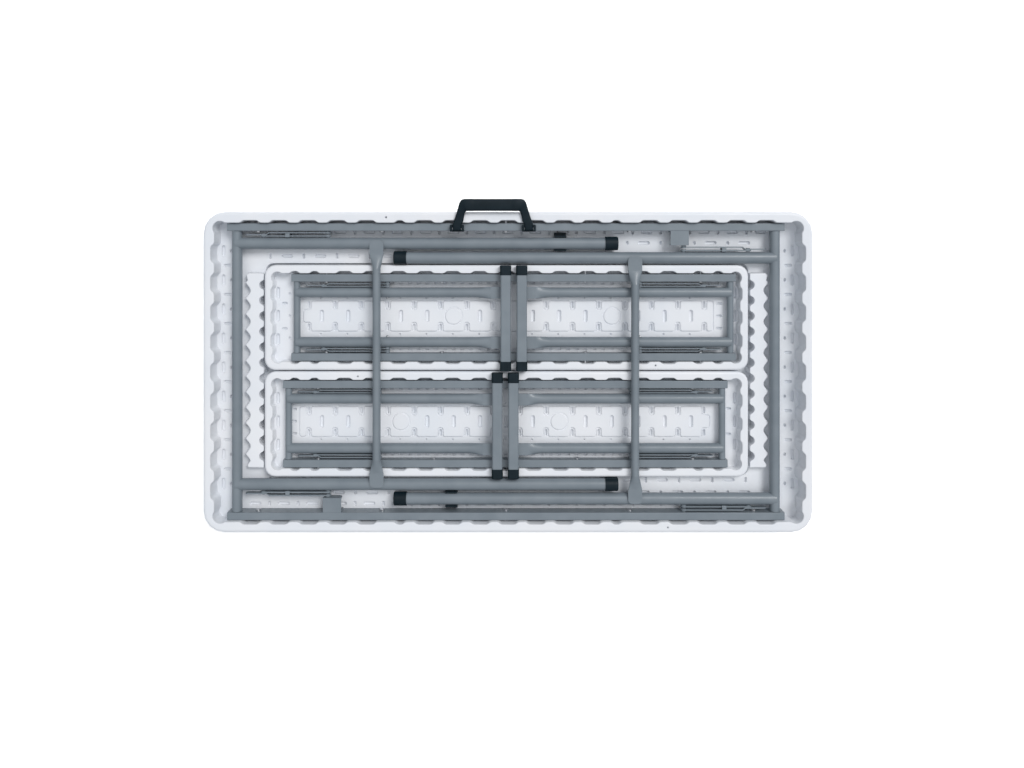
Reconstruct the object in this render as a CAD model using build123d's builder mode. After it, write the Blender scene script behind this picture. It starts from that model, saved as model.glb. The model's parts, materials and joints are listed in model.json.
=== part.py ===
from build123d import *
import math
import os

# Folding picnic table with two folding benches stored in its underside.
# The table lies on its tabletop: z = 0 is the tabletop's flat face and +Z points away from it,
# +X runs along the table and +Y towards the long side with the carrying handle. Millimetres.

os.makedirs("parts", exist_ok=True)

# Tabletop, a blow-moulded tray with a rim, a ledge for the frame and a bay for the benches
TOP_LENGTH = 1130.0
TOP_WIDTH = 595.0
TOP_CORNER = 40.0
RIM_Z = 62.0
LEDGE_Z = 26.0
END_PAD_Z = 40.0
BAY_Z = 10.0
TRAY_LENGTH = 1088.0
TRAY_WIDTH = 554.0
TRAY_CORNER = 24.0
BAY_X = -2.0
BAY_LENGTH = 912.0
BAY_WIDTH = 401.0
END_PAD_LENGTH = 34.0
END_PAD_WIDTH = 368.0
NOTCH_PITCH = 29.2
NOTCH_RADIUS = 8.5

# Table frame
FRAME_X = -4.0
RAIL_LENGTH = 1037.0
RAIL_WIDTH = 14.0
RAIL_HEIGHT = 28.0
RAIL_Y = 269.0
RAIL_WALL = 1.5
PIVOT_REACH = 502.5
PIVOT_Z = 44.0
PIVOT_TUBE_D = 19.0
JOURNAL_D = 12.0
BUSH_D = 16.0
LEG_D = 22.0
LEG_WALL = 1.2
LEG_LENGTH = 712.0
OUTER_LEG_Y = 238.5
INNER_LEG_Y = -211.5
CROSSBAR_D = 15.0
CROSSBAR_REACH = 262.5
CAP_D = 25.5
CAP_LENGTH = 24.0
CAP_END = 4.0
SCREW_D = 5.0
SCREW_Z = 39.0
SCREW_PITCH = 232.0
CLIP_X = 98.0

# Bench and its frame
BENCH_LENGTH = 905.0
BENCH_WIDTH = 197.0
BENCH_CORNER = 20.0
BENCH_X = -3.0
BENCH_Y = 99.75
BENCH_RIM_Z = 46.0
PAN_Z = 24.0
PAN_LENGTH = 873.6
PAN_WIDTH = 165.6
UPPER_FRAME_X = 10.5
LOWER_FRAME_X = -5.0
BENCH_RAIL_LENGTH = 832.0
BENCH_RAIL_WIDTH = 14.0
BENCH_RAIL_HEIGHT = 20.0
BENCH_RAIL_Y = 74.0
BENCH_PIVOT_REACH = 407.0
BENCH_PIVOT_Z = 36.0
BENCH_PIVOT_D = 12.7
BENCH_JOURNAL_D = 9.0
BENCH_LEG_D = 19.0
BENCH_LEG_Y = 46.5
BENCH_FOOT_REACH = 392.0
FOOT_BAR_WIDTH = 21.0
FOOT_BAR_HEIGHT = 16.0
FOOT_BAR_Z = 46.3
FOOT_CAP_LENGTH = 18.0
BENCH_SCREW_D = 4.0
BENCH_SCREW_Z = 33.0

# Braces: two equal links that fold double beside each leg and lie in line when it is at 90 degrees
BRACE_REACH = 170.0
LINK_LENGTH = BRACE_REACH / math.sqrt(2)
FIT = 0.05

# Handle
HANDLE_X = -28.0
HANDLE_AXIS_Y = 266.0
HANDLE_AXIS_Z = 61.0
HANDLE_FOOT_REACH = 66.5
HANDLE_PIN_D = 5.0

PIVOT_X = FRAME_X - PIVOT_REACH
RAIL_FACE_Y = RAIL_Y - RAIL_WIDTH / 2
BENCH_RAIL_FACE_Y = BENCH_RAIL_Y - BENCH_RAIL_WIDTH / 2
TURN_AXIS = Axis((FRAME_X, 0, 0), (0, 0, 1))


def save(piece, name):
    """Label a finished piece and write it as one STEP file."""
    piece.label = name
    export_step(piece, f"parts/{name}.step")


def upright(y):
    """Plane at a given Y, drawn in X and Z. Positive extrusion goes towards -Y."""
    return Plane.XZ.offset(-y)


def disc(x, z, y_from, y_to, diameter, mode=Mode.ADD):
    """Round bar along Y inside the current part."""
    with BuildSketch(upright(max(y_from, y_to))) as section:
        with Locations((x, z)):
            Circle(diameter / 2)
    extrude(section.sketch, amount=abs(y_to - y_from), mode=mode)


def wall_pockets(length, width, corner_free, depth, places_long, places_short):
    """Pockets moulded round the inside of a tray's wall: (place, opening length) for each side."""
    for place, opening in places_long:
        for sign, turn in ((1, 0), (-1, 180)):
            with Locations((place, sign * (width / 2 - 1))):
                Trapezoid(opening, depth + 1, 55, rotation=turn, align=(Align.CENTER, Align.MIN))
    for place, opening in places_short:
        for sign, turn in ((1, -90), (-1, 90)):
            with Locations((sign * (length / 2 - 1), place)):
                Trapezoid(opening, depth + 1, 55, rotation=turn, align=(Align.CENTER, Align.MIN))
    for x_sign in (1, -1):
        for y_sign in (1, -1):
            with Locations((x_sign * (length / 2 - corner_free), y_sign * (width / 2 - corner_free))):
                Circle(corner_free + depth / 2)


# ---------------------------------------------------------------- tabletop
middle_pockets = [(k * 51.8, 37.0) for k in range(-3, 4)]
narrow_pockets = [(side * 200.7, 20.0) for side in (1, -1)]
outer_pockets = [(side * (262.5 + k * 53.9), 37.0) for side in (1, -1) for k in range(5)]
side_pockets = [(k * 55.0, 37.0) for k in range(-4, 5)]

with BuildPart() as tabletop:
    with BuildSketch():
        RectangleRounded(TOP_LENGTH, TOP_WIDTH, TOP_CORNER)
    extrude(amount=RIM_Z)
    fillet(tabletop.edges().group_by(Axis.Z)[0], 6)
    fillet(tabletop.edges().group_by(Axis.Z)[-1], 4)
    # the tray inside the rim, down to the ledge
    with BuildSketch(Plane.XY.offset(LEDGE_Z)):
        RectangleRounded(TRAY_LENGTH, TRAY_WIDTH, TRAY_CORNER)
        wall_pockets(
            TRAY_LENGTH,
            TRAY_WIDTH,
            26,
            5.0,
            middle_pockets + narrow_pockets + outer_pockets,
            side_pockets,
        )
    extrude(amount=RIM_Z - LEDGE_Z, mode=Mode.SUBTRACT)
    # raised pads at both ends of the bench bay, notched along their outer edges
    with BuildSketch(Plane.XY.offset(LEDGE_Z)):
        for side in (1, -1):
            with Locations((BAY_X + side * (BAY_LENGTH + END_PAD_LENGTH) / 2, 0)):
                RectangleRounded(END_PAD_LENGTH, END_PAD_WIDTH, 9)
            for k in range(-6, 7):
                pad_edge = BAY_X + side * (BAY_LENGTH / 2 + END_PAD_LENGTH)
                with Locations((pad_edge, k * NOTCH_PITCH)):
                    Circle(NOTCH_RADIUS, mode=Mode.SUBTRACT)
    extrude(amount=END_PAD_Z - LEDGE_Z)
    # the bay that holds both benches, with notches that reach into the pads
    with BuildSketch(Plane.XY.offset(BAY_Z)):
        with Locations((BAY_X, 0)):
            RectangleRounded(BAY_LENGTH, BAY_WIDTH, 16)
        for k in range(-6, 6):
            for side in (1, -1):
                with Locations((BAY_X + side * BAY_LENGTH / 2, (k + 0.5) * NOTCH_PITCH)):
                    Circle(NOTCH_RADIUS)
    extrude(amount=END_PAD_Z - BAY_Z, mode=Mode.SUBTRACT)
    # holes of the rail screws
    for k in range(-2, 3):
        for side in (1, -1):
            disc(
                FRAME_X + k * SCREW_PITCH,
                SCREW_Z,
                side * (TRAY_WIDTH / 2 - 2),
                side * (TRAY_WIDTH / 2 + 11),
                SCREW_D,
                Mode.SUBTRACT,
            )
save(tabletop.part, "tabletop")


# ---------------------------------------------------------------- table rails
def rail(y_centre, length, height, z_low, holes):
    """Rectangular tube along X about X = 0. Holes: (x, z, y from, y to, diameter)."""
    with BuildPart() as tube:
        with BuildSketch(Plane.YZ.offset(-length / 2)):
            with Locations((y_centre, z_low + height / 2)):
                RectangleRounded(RAIL_WIDTH, height, 1.2)
                Rectangle(RAIL_WIDTH - 2 * RAIL_WALL, height - 2 * RAIL_WALL, mode=Mode.SUBTRACT)
        extrude(amount=length)
        for x, z, y_from, y_to, diameter in holes:
            disc(x, z, y_from, y_to, diameter, Mode.SUBTRACT)
    return tube.part


def across(y_centre, margin=1.0):
    """The Y range that crosses a whole rail."""
    return y_centre - RAIL_WIDTH / 2 - margin, y_centre + RAIL_WIDTH / 2 + margin


# The upper rail's brace hole is near the left legs, and the lower rail is the same rail turned round.
rail_holes = [(side * PIVOT_REACH, PIVOT_Z, *across(RAIL_Y), BUSH_D) for side in (1, -1)]
rail_holes += [(k * SCREW_PITCH, SCREW_Z, *across(RAIL_Y), SCREW_D) for k in range(-2, 3)]
rail_holes += [
    (BRACE_REACH - PIVOT_REACH, PIVOT_Z, RAIL_FACE_Y - 1, RAIL_FACE_Y + 3, 6 + 2 * FIT)
]
table_rail = rail(RAIL_Y, RAIL_LENGTH, RAIL_HEIGHT, LEDGE_Z, rail_holes).translate((FRAME_X, 0, 0))
save(table_rail, "upper_table_rail")
save(table_rail.rotate(TURN_AXIS, 180), "lower_table_rail")

with BuildPart() as rail_screws:
    for k in range(-2, 3):
        for side in (1, -1):
            x = FRAME_X + k * SCREW_PITCH
            disc(x, SCREW_Z, side * RAIL_FACE_Y, side * (TRAY_WIDTH / 2 + 10), SCREW_D)
            disc(x, SCREW_Z, side * (RAIL_FACE_Y - 2.5), side * RAIL_FACE_Y, 10)
save(rail_screws.part, "rail_screws")

with BuildPart() as pivot_bushes:
    for x_side in (1, -1):
        for y_side in (1, -1):
            x = FRAME_X + x_side * PIVOT_REACH
            low, high = y_side * (RAIL_Y - RAIL_WIDTH / 2), y_side * (RAIL_Y + RAIL_WIDTH / 2)
            disc(x, PIVOT_Z, low, high, BUSH_D)
            disc(x, PIVOT_Z, low, high, JOURNAL_D + 2 * FIT, Mode.SUBTRACT)
save(pivot_bushes.part, "pivot_bushes")

# Brackets carry the far braces from the rail to a flange beside the inner legs.
BRACE_GAP = RAIL_FACE_Y - OUTER_LEG_Y - LEG_D / 2
BRACKET_PLATE = 2.5
bracket_face = INNER_LEG_Y - LEG_D / 2 - BRACE_GAP
bracket_x = PIVOT_X + BRACE_REACH
with BuildPart() as brace_bracket:
    with BuildSketch(Plane.XY.offset(PIVOT_Z + 7)):
        with Locations((bracket_x + 9, (bracket_face - RAIL_FACE_Y) / 2)):
            Rectangle(34, bracket_face + RAIL_FACE_Y)
    extrude(amount=BRACKET_PLATE)
    with BuildSketch(upright(bracket_face)):
        with Locations((bracket_x + 9, PIVOT_Z + 9.5)):
            Rectangle(34, 19, align=(Align.CENTER, Align.MAX))
    extrude(amount=BRACKET_PLATE)
    fillet(brace_bracket.edges().filter_by(Axis.Y).group_by(Axis.Z)[0], 8)
    with BuildSketch(upright(BRACKET_PLATE - RAIL_FACE_Y)):
        with Locations((bracket_x + 9, PIVOT_Z + 9.5)):
            Rectangle(34, 24, align=(Align.CENTER, Align.MAX))
    extrude(amount=BRACKET_PLATE)
    disc(bracket_x, PIVOT_Z, bracket_face + 1, bracket_face - 4, 6 + 2 * FIT, Mode.SUBTRACT)
with BuildPart() as brace_brackets:
    add(brace_bracket.part)
    add(brace_bracket.part.rotate(TURN_AXIS, 180))
save(brace_brackets.part, "brace_brackets")

# U-shaped clips on the ledge that the outer legs press into when they are folded.
with BuildPart() as leg_clip:
    with BuildSketch(Plane.YZ.offset(CLIP_X - 11)):
        with Locations((OUTER_LEG_Y, LEDGE_Z)):
            Rectangle(28.5, 24, align=(Align.CENTER, Align.MIN))
        with Locations((OUTER_LEG_Y + 13, LEDGE_Z)):
            Rectangle(7, 10, align=(Align.MIN, Align.MIN))
        with Locations((OUTER_LEG_Y, PIVOT_Z)):
            Circle(LEG_D / 2 + 0.3, mode=Mode.SUBTRACT)
            Rectangle(LEG_D + 0.6, 20, align=(Align.CENTER, Align.MIN), mode=Mode.SUBTRACT)
    extrude(amount=22)
with BuildPart() as leg_clips:
    add(leg_clip.part)
    add(leg_clip.part.rotate(TURN_AXIS, 180))
save(leg_clips.part, "leg_clips")


# ---------------------------------------------------------------- braces
class Brace:
    """Sizes of a brace. Gaps are measured from the side of the leg, towards the rail."""

    def __init__(self, width, thick, leg_gap, tail_gap, rail_gap, face_gap):
        self.width = width
        self.thick = thick
        self.leg_gap = leg_gap
        self.tail_gap = tail_gap
        self.rail_gap = rail_gap
        self.face_gap = face_gap


TABLE_BRACE = Brace(12.0, 2.0, 2.0, 4.2, 8.0, BRACE_GAP)
BENCH_BRACE = Brace(
    10.0, 1.6, 1.4, 3.2, 6.4, BENCH_RAIL_FACE_Y - BENCH_LEG_Y - BENCH_LEG_D / 2
)
STUD_D = 6.0
STUD_HEAD = 1.2
TAIL_LENGTH = 28.0
JOGGLE_START = 6.0
JOGGLE_END = 11.0


def leg_link(brace, pivot_x, pivot_z, side_y, side):
    """Link on the leg, with the stud that turns in the leg. side_y is the side of the leg tube."""

    def y(gap):
        return side_y + side * gap

    far = pivot_x + BRACE_REACH
    knuckle = far - LINK_LENGTH
    outer = brace.leg_gap + brace.thick
    with BuildPart() as link:
        with BuildSketch(upright(max(y(brace.leg_gap), y(outer)))):
            with Locations(((far + knuckle) / 2, pivot_z)):
                SlotCenterToCenter(LINK_LENGTH, brace.width)
        extrude(amount=brace.thick)
        disc(far, pivot_z, y(-5), y(brace.leg_gap), STUD_D)
        disc(far, pivot_z, y(0.4), y(brace.leg_gap), STUD_D + 3)
        disc(far, pivot_z, y(outer), y(outer + STUD_HEAD), STUD_D + 3)
        disc(knuckle, pivot_z, y(0.5), y(brace.leg_gap), STUD_D + 2)
    return link.part


def rail_link(brace, pivot_x, pivot_z, side_y, side):
    """Link on the rail: straight beside the leg link, joggled at the knuckle, with a tail past it."""

    def y(gap):
        return side_y + side * gap

    far = pivot_x + BRACE_REACH
    knuckle = far - LINK_LENGTH
    tail_end = knuckle - TAIL_LENGTH - brace.width / 2
    rail_end = far + brace.width / 2
    edge = [
        (tail_end, brace.tail_gap),
        (knuckle + JOGGLE_START, brace.tail_gap),
        (knuckle + JOGGLE_END, brace.rail_gap),
        (rail_end, brace.rail_gap),
    ]
    other_edge = [(x, gap + brace.thick) for x, gap in reversed(edge)]
    with BuildPart() as link:
        with BuildSketch(Plane.XY.offset(pivot_z - brace.width / 2)):
            with BuildLine():
                Polyline([(x, y(gap)) for x, gap in edge + other_edge], close=True)
            make_face()
        extrude(amount=brace.width)
        with BuildSketch(upright(max(y(0), y(20)))):
            with Locations(((tail_end + rail_end) / 2, pivot_z)):
                SlotOverall(rail_end - tail_end, brace.width)
        extrude(amount=20, mode=Mode.INTERSECT)
        main_side = brace.rail_gap + brace.thick
        disc(far, pivot_z, y(main_side), y(brace.face_gap - 0.3), STUD_D + 3)
        disc(far, pivot_z, y(brace.face_gap - 0.3), y(brace.face_gap + 3), STUD_D)
        disc(far, pivot_z, y(brace.rail_gap - STUD_HEAD), y(brace.rail_gap), STUD_D + 3)
        tail_side = brace.tail_gap + brace.thick
        disc(knuckle, pivot_z, y(tail_side), y(tail_side + STUD_HEAD), STUD_D + 2)
    return link.part


def lock_ring(brace, pivot_x, pivot_z, side_y, side):
    """Flat ring that slides along the leg link and over the rail link's tail."""
    low = side_y + side * (brace.leg_gap - 0.5)
    high = side_y + side * (brace.tail_gap + brace.thick + 0.5)
    ring_x = pivot_x + BRACE_REACH - LINK_LENGTH + 42
    with BuildPart() as ring:
        with BuildSketch(Plane.YZ.offset(ring_x)):
            with Locations(((low + high) / 2, pivot_z)):
                RectangleRounded(abs(high - low) + 2, brace.width + 3.4, 0.9)
                Rectangle(abs(high - low), brace.width + 1, mode=Mode.SUBTRACT)
        extrude(amount=8)
    return ring.part


def pair(make, brace, pivot_x, pivot_z, upper_y, lower_y):
    """The same piece beside the upper leg and, mirrored, beside the lower one."""
    with BuildPart() as both:
        add(make(brace, pivot_x, pivot_z, upper_y, 1))
        add(make(brace, pivot_x, pivot_z, lower_y, -1))
    return both.part


# ---------------------------------------------------------------- table legs
def tube_end_hole(x, z, side_y, side, mode=Mode.SUBTRACT):
    """Hole for a brace stud through the near wall of a leg tube."""
    disc(x, z, side_y - side * 5, side_y + side * 2, STUD_D + 2 * FIT, mode)


def table_leg(y_centre, side):
    """Leg tube, coped round the pivot tube, with its brace stud hole."""
    with BuildPart() as tube:
        with BuildSketch(Plane.YZ.offset(PIVOT_X - 2)):
            with Locations((y_centre, PIVOT_Z)):
                Circle(LEG_D / 2)
                Circle(LEG_D / 2 - LEG_WALL, mode=Mode.SUBTRACT)
        extrude(amount=LEG_LENGTH - CAP_END + 2)
        disc(PIVOT_X, PIVOT_Z, y_centre - 20, y_centre + 20, PIVOT_TUBE_D, Mode.SUBTRACT)
        tube_end_hole(PIVOT_X + BRACE_REACH, PIVOT_Z, y_centre + side * LEG_D / 2, side)
    return tube.part


with BuildPart() as pivot_tube:
    disc(PIVOT_X, PIVOT_Z, 0.6 - RAIL_FACE_Y, RAIL_FACE_Y - 0.6, PIVOT_TUBE_D)
    disc(PIVOT_X, PIVOT_Z, -RAIL_Y - 5, RAIL_Y + 5, JOURNAL_D)
    disc(PIVOT_X, PIVOT_Z, -RAIL_Y + 5, RAIL_Y - 5, JOURNAL_D - 4, Mode.SUBTRACT)

CROSSBAR_PLATE = 3.0
crossbar_z = PIVOT_Z + LEG_D / 2 + CROSSBAR_PLATE / 2 + 0.1
plate_low, plate_high = INNER_LEG_Y - 3, OUTER_LEG_Y + 6
neck = 26.0
with BuildPart() as crossbar:
    for end, inward in ((plate_high, -1), (plate_low, 1)):
        flat_start = end + inward * 26
        bar_start = flat_start + inward * neck
        with BuildSketch(upright(flat_start)):
            with Locations((PIVOT_X + CROSSBAR_REACH, crossbar_z)):
                SlotOverall(26, CROSSBAR_PLATE)
        with BuildSketch(upright(bar_start)):
            with Locations((PIVOT_X + CROSSBAR_REACH, crossbar_z)):
                Circle(CROSSBAR_D / 2)
        loft()
        with BuildSketch(Plane.XY.offset(crossbar_z - CROSSBAR_PLATE / 2)):
            with Locations((PIVOT_X + CROSSBAR_REACH, (end + flat_start) / 2)):
                RectangleRounded(26, 26, 8)
            with Locations((PIVOT_X + CROSSBAR_REACH, flat_start - inward * 6)):
                Rectangle(26, 12)
        extrude(amount=CROSSBAR_PLATE)
    disc(
        PIVOT_X + CROSSBAR_REACH,
        crossbar_z,
        plate_low + 26 + neck,
        plate_high - 26 - neck,
        CROSSBAR_D,
    )

with BuildPart() as foot_caps:
    with BuildSketch(Plane.YZ.offset(PIVOT_X + LEG_LENGTH - CAP_LENGTH)):
        with Locations((OUTER_LEG_Y, PIVOT_Z), (INNER_LEG_Y, PIVOT_Z)):
            Circle(CAP_D / 2)
    extrude(amount=CAP_LENGTH)
    fillet(foot_caps.edges().group_by(Axis.X)[-1], 2)
    with BuildSketch(Plane.YZ.offset(PIVOT_X + LEG_LENGTH - CAP_LENGTH)):
        with Locations((OUTER_LEG_Y, PIVOT_Z), (INNER_LEG_Y, PIVOT_Z)):
            Circle(LEG_D / 2)
    extrude(amount=CAP_LENGTH - CAP_END, mode=Mode.SUBTRACT)

upper_side = OUTER_LEG_Y + LEG_D / 2
lower_side = INNER_LEG_Y - LEG_D / 2
table_leg_set = {
    "pivot_tube": pivot_tube.part,
    "outer_leg": table_leg(OUTER_LEG_Y, 1),
    "inner_leg": table_leg(INNER_LEG_Y, -1),
    "crossbar": crossbar.part,
    "foot_caps": foot_caps.part,
    "rail_links": pair(rail_link, TABLE_BRACE, PIVOT_X, PIVOT_Z, upper_side, lower_side),
    "leg_links": pair(leg_link, TABLE_BRACE, PIVOT_X, PIVOT_Z, upper_side, lower_side),
    "lock_rings": pair(lock_ring, TABLE_BRACE, PIVOT_X, PIVOT_Z, upper_side, lower_side),
}
for name, piece in table_leg_set.items():
    save(piece, f"left_{name}")
    save(piece.rotate(TURN_AXIS, 180), f"right_{name}")


# ---------------------------------------------------------------- carrying handle
GRIP_LOW_Y = 299.0
GRIP_HIGH_Y = 321.0
ARM_Z = RIM_Z + 0.6
ARM_THICK = 5.4
GRIP_TOP_Z = 77.0
arm_outline = [
    (-79, HANDLE_AXIS_Y),
    (-64.5, GRIP_HIGH_Y - 6),
    (-58, GRIP_HIGH_Y),
    (58, GRIP_HIGH_Y),
    (64.5, GRIP_HIGH_Y - 6),
    (79, HANDLE_AXIS_Y),
    (55, HANDLE_AXIS_Y),
    (48, GRIP_LOW_Y),
    (-48, GRIP_LOW_Y),
    (-55, HANDLE_AXIS_Y),
]
with BuildPart() as handle:
    with BuildSketch(Plane.XY.offset(ARM_Z)):
        with BuildLine():
            Polyline([(HANDLE_X + x, y) for x, y in arm_outline], close=True)
        make_face()
    extrude(amount=ARM_THICK)
    with BuildSketch(Plane.XY.offset(ARM_Z)):
        with Locations((HANDLE_X, (GRIP_LOW_Y + GRIP_HIGH_Y) / 2)):
            RectangleRounded(122, GRIP_HIGH_Y - GRIP_LOW_Y, 7)
    extrude(amount=GRIP_TOP_Z - ARM_Z)
    fillet(handle.edges().group_by(Axis.Z)[-1], 4)
    # the arms' ends narrow to barrels that turn on the pins
    for side in (1, -1):
        foot_x = HANDLE_X + side * HANDLE_FOOT_REACH
        with BuildSketch(Plane.YZ.offset(foot_x - 13)):
            with Locations((HANDLE_AXIS_Y, HANDLE_AXIS_Z)):
                Rectangle(20, 30)
        extrude(amount=5, mode=Mode.SUBTRACT)
        with BuildSketch(Plane.YZ.offset(foot_x + 8)):
            with Locations((HANDLE_AXIS_Y, HANDLE_AXIS_Z)):
                Rectangle(20, 30)
        extrude(amount=5, mode=Mode.SUBTRACT)
        with BuildSketch(Plane.YZ.offset(foot_x - 8)):
            with Locations((HANDLE_AXIS_Y, HANDLE_AXIS_Z)):
                Circle(5)
                Rectangle(5.5, 7, align=(Align.MIN, Align.MIN))
        extrude(amount=16)
        with BuildSketch(Plane.YZ.offset(foot_x - 8)):
            with Locations((HANDLE_AXIS_Y, HANDLE_AXIS_Z)):
                Circle(HANDLE_PIN_D / 2 + FIT)
        extrude(amount=16, mode=Mode.SUBTRACT)
save(handle.part, "handle")

with BuildPart() as handle_mounts:
    rail_top = LEDGE_Z + RAIL_HEIGHT
    for side in (1, -1):
        foot_x = HANDLE_X + side * HANDLE_FOOT_REACH
        with BuildSketch(Plane.XY.offset(rail_top)):
            with Locations((foot_x, HANDLE_AXIS_Y + 1)):
                RectangleRounded(26, 13, 2)
        extrude(amount=HANDLE_AXIS_Z + 5 - rail_top)
        with BuildSketch(Plane.XY.offset(rail_top + 1.5)):
            with Locations((foot_x, HANDLE_AXIS_Y)):
                Rectangle(17, 30)
        extrude(amount=20, mode=Mode.SUBTRACT)
        with BuildSketch(Plane.YZ.offset(foot_x - 14)):
            with Locations((HANDLE_AXIS_Y, HANDLE_AXIS_Z)):
                Circle(HANDLE_PIN_D / 2)
        extrude(amount=28, mode=Mode.SUBTRACT)
save(handle_mounts.part, "handle_mounts")

with BuildPart() as handle_pins:
    for side in (1, -1):
        with BuildSketch(Plane.YZ.offset(HANDLE_X + side * HANDLE_FOOT_REACH - 13)):
            with Locations((HANDLE_AXIS_Y, HANDLE_AXIS_Z)):
                Circle(HANDLE_PIN_D / 2)
        extrude(amount=26)
save(handle_pins.part, "handle_pins")


# ---------------------------------------------------------------- benches
bench_long_pockets = [(k * 50.5, 31.0) for k in range(-6, 7)]
bench_long_pockets += [(side * place, 18.0) for side in (1, -1) for place in (359, 396)]
bench_side_pockets = [(k * 44.0, 27.0) for k in range(-1, 2)]
BENCH_SCREW_PLACES = (-352, -135, 135, 352)

# Each bench is drawn about its own centreline, then moved to its side of the bay.
with BuildPart() as seat:
    with BuildSketch(Plane.XY.offset(BAY_Z)):
        RectangleRounded(BENCH_LENGTH, BENCH_WIDTH, BENCH_CORNER)
    extrude(amount=BENCH_RIM_Z - BAY_Z)
    fillet(seat.edges().group_by(Axis.Z)[0], 6)
    fillet(seat.edges().group_by(Axis.Z)[-1], 3)
    with BuildSketch(Plane.XY.offset(PAN_Z)):
        RectangleRounded(PAN_LENGTH, PAN_WIDTH, 12)
        wall_pockets(PAN_LENGTH, PAN_WIDTH, 16, 3.5, bench_long_pockets, bench_side_pockets)
    extrude(amount=BENCH_RIM_Z - PAN_Z, mode=Mode.SUBTRACT)


def bench_seat(frame_shift):
    """The seat with the holes of its rail screws, which follow the bench frame's place."""
    with BuildPart() as drilled:
        add(seat.part)
        for place in BENCH_SCREW_PLACES:
            for side in (1, -1):
                wall = PAN_WIDTH / 2
                disc(
                    frame_shift + place,
                    BENCH_SCREW_Z,
                    side * (wall - 2),
                    side * (wall + 9),
                    BENCH_SCREW_D,
                    Mode.SUBTRACT,
                )
    return drilled.part


bench_rail_holes = [
    (side * BENCH_PIVOT_REACH, BENCH_PIVOT_Z, *across(BENCH_RAIL_Y), BENCH_JOURNAL_D + 2 * FIT)
    for side in (1, -1)
]
bench_rail_holes += [
    (place, BENCH_SCREW_Z, *across(BENCH_RAIL_Y), BENCH_SCREW_D) for place in BENCH_SCREW_PLACES
]
bench_rail_holes += [
    (
        side * (BENCH_PIVOT_REACH - BRACE_REACH),
        BENCH_PIVOT_Z,
        BENCH_RAIL_FACE_Y - 1,
        BENCH_RAIL_FACE_Y + 3,
        STUD_D + 2 * FIT,
    )
    for side in (1, -1)
]
bench_rail = rail(BENCH_RAIL_Y, BENCH_RAIL_LENGTH, BENCH_RAIL_HEIGHT, PAN_Z, bench_rail_holes)

with BuildPart() as bench_screws:
    for place in BENCH_SCREW_PLACES:
        for side in (1, -1):
            disc(
                place,
                BENCH_SCREW_Z,
                side * BENCH_RAIL_FACE_Y,
                side * (PAN_WIDTH / 2 + 8),
                BENCH_SCREW_D,
            )
            disc(
                place, BENCH_SCREW_Z, side * (BENCH_RAIL_FACE_Y - 2), side * BENCH_RAIL_FACE_Y, 8
            )

bench_pivot_x = -BENCH_PIVOT_REACH
with BuildPart() as bench_pivot_tube:
    disc(
        bench_pivot_x,
        BENCH_PIVOT_Z,
        0.5 - BENCH_RAIL_FACE_Y,
        BENCH_RAIL_FACE_Y - 0.5,
        BENCH_PIVOT_D,
    )
    disc(bench_pivot_x, BENCH_PIVOT_Z, -BENCH_RAIL_Y - 6, BENCH_RAIL_Y + 6, BENCH_JOURNAL_D)

PLATE_THICK = 3.0
foot_x = bench_pivot_x + BENCH_FOOT_REACH
flat_start = foot_x - 27
round_end = foot_x - 53
plate_z = FOOT_BAR_Z - PLATE_THICK / 2
with BuildPart() as bench_legs:
    for side in (1, -1):
        with BuildSketch(Plane.YZ.offset(bench_pivot_x - 1)):
            with Locations((side * BENCH_LEG_Y, BENCH_PIVOT_Z)):
                Circle(BENCH_LEG_D / 2)
        extrude(amount=round_end - bench_pivot_x + 1)
        with BuildSketch(Plane.YZ.offset(round_end)):
            with Locations((side * BENCH_LEG_Y, BENCH_PIVOT_Z)):
                Circle(BENCH_LEG_D / 2)
        with BuildSketch(Plane.YZ.offset(flat_start)):
            with Locations((side * BENCH_LEG_Y, plate_z)):
                SlotOverall(22.5, PLATE_THICK)
        loft()
        with BuildSketch(Plane.XY.offset(plate_z - PLATE_THICK / 2)):
            with Locations((flat_start, side * BENCH_LEG_Y)):
                Rectangle(36, 22.5, align=(Align.MIN, Align.CENTER))
        extrude(amount=PLATE_THICK)
        with BuildSketch(Plane.YZ.offset(bench_pivot_x - 1)):
            with Locations((side * BENCH_LEG_Y, BENCH_PIVOT_Z)):
                Circle(BENCH_LEG_D / 2 - LEG_WALL)
        extrude(amount=round_end - bench_pivot_x - 3, mode=Mode.SUBTRACT)
        disc(
            bench_pivot_x,
            BENCH_PIVOT_Z,
            side * BENCH_LEG_Y - 15,
            side * BENCH_LEG_Y + 15,
            BENCH_PIVOT_D,
            Mode.SUBTRACT,
        )
        side_y = side * (BENCH_LEG_Y + BENCH_LEG_D / 2)
        tube_end_hole(bench_pivot_x + BRACE_REACH, BENCH_PIVOT_Z, side_y, side)

bar_z = FOOT_BAR_Z + FOOT_BAR_HEIGHT / 2
bar_length = BENCH_WIDTH - 1
with BuildPart() as foot_bar:
    with BuildSketch(upright(bar_length / 2 - 3)):
        with Locations((foot_x, bar_z)):
            RectangleRounded(FOOT_BAR_WIDTH - 1.6, FOOT_BAR_HEIGHT, 3.5)
    extrude(amount=bar_length - 6)

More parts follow.
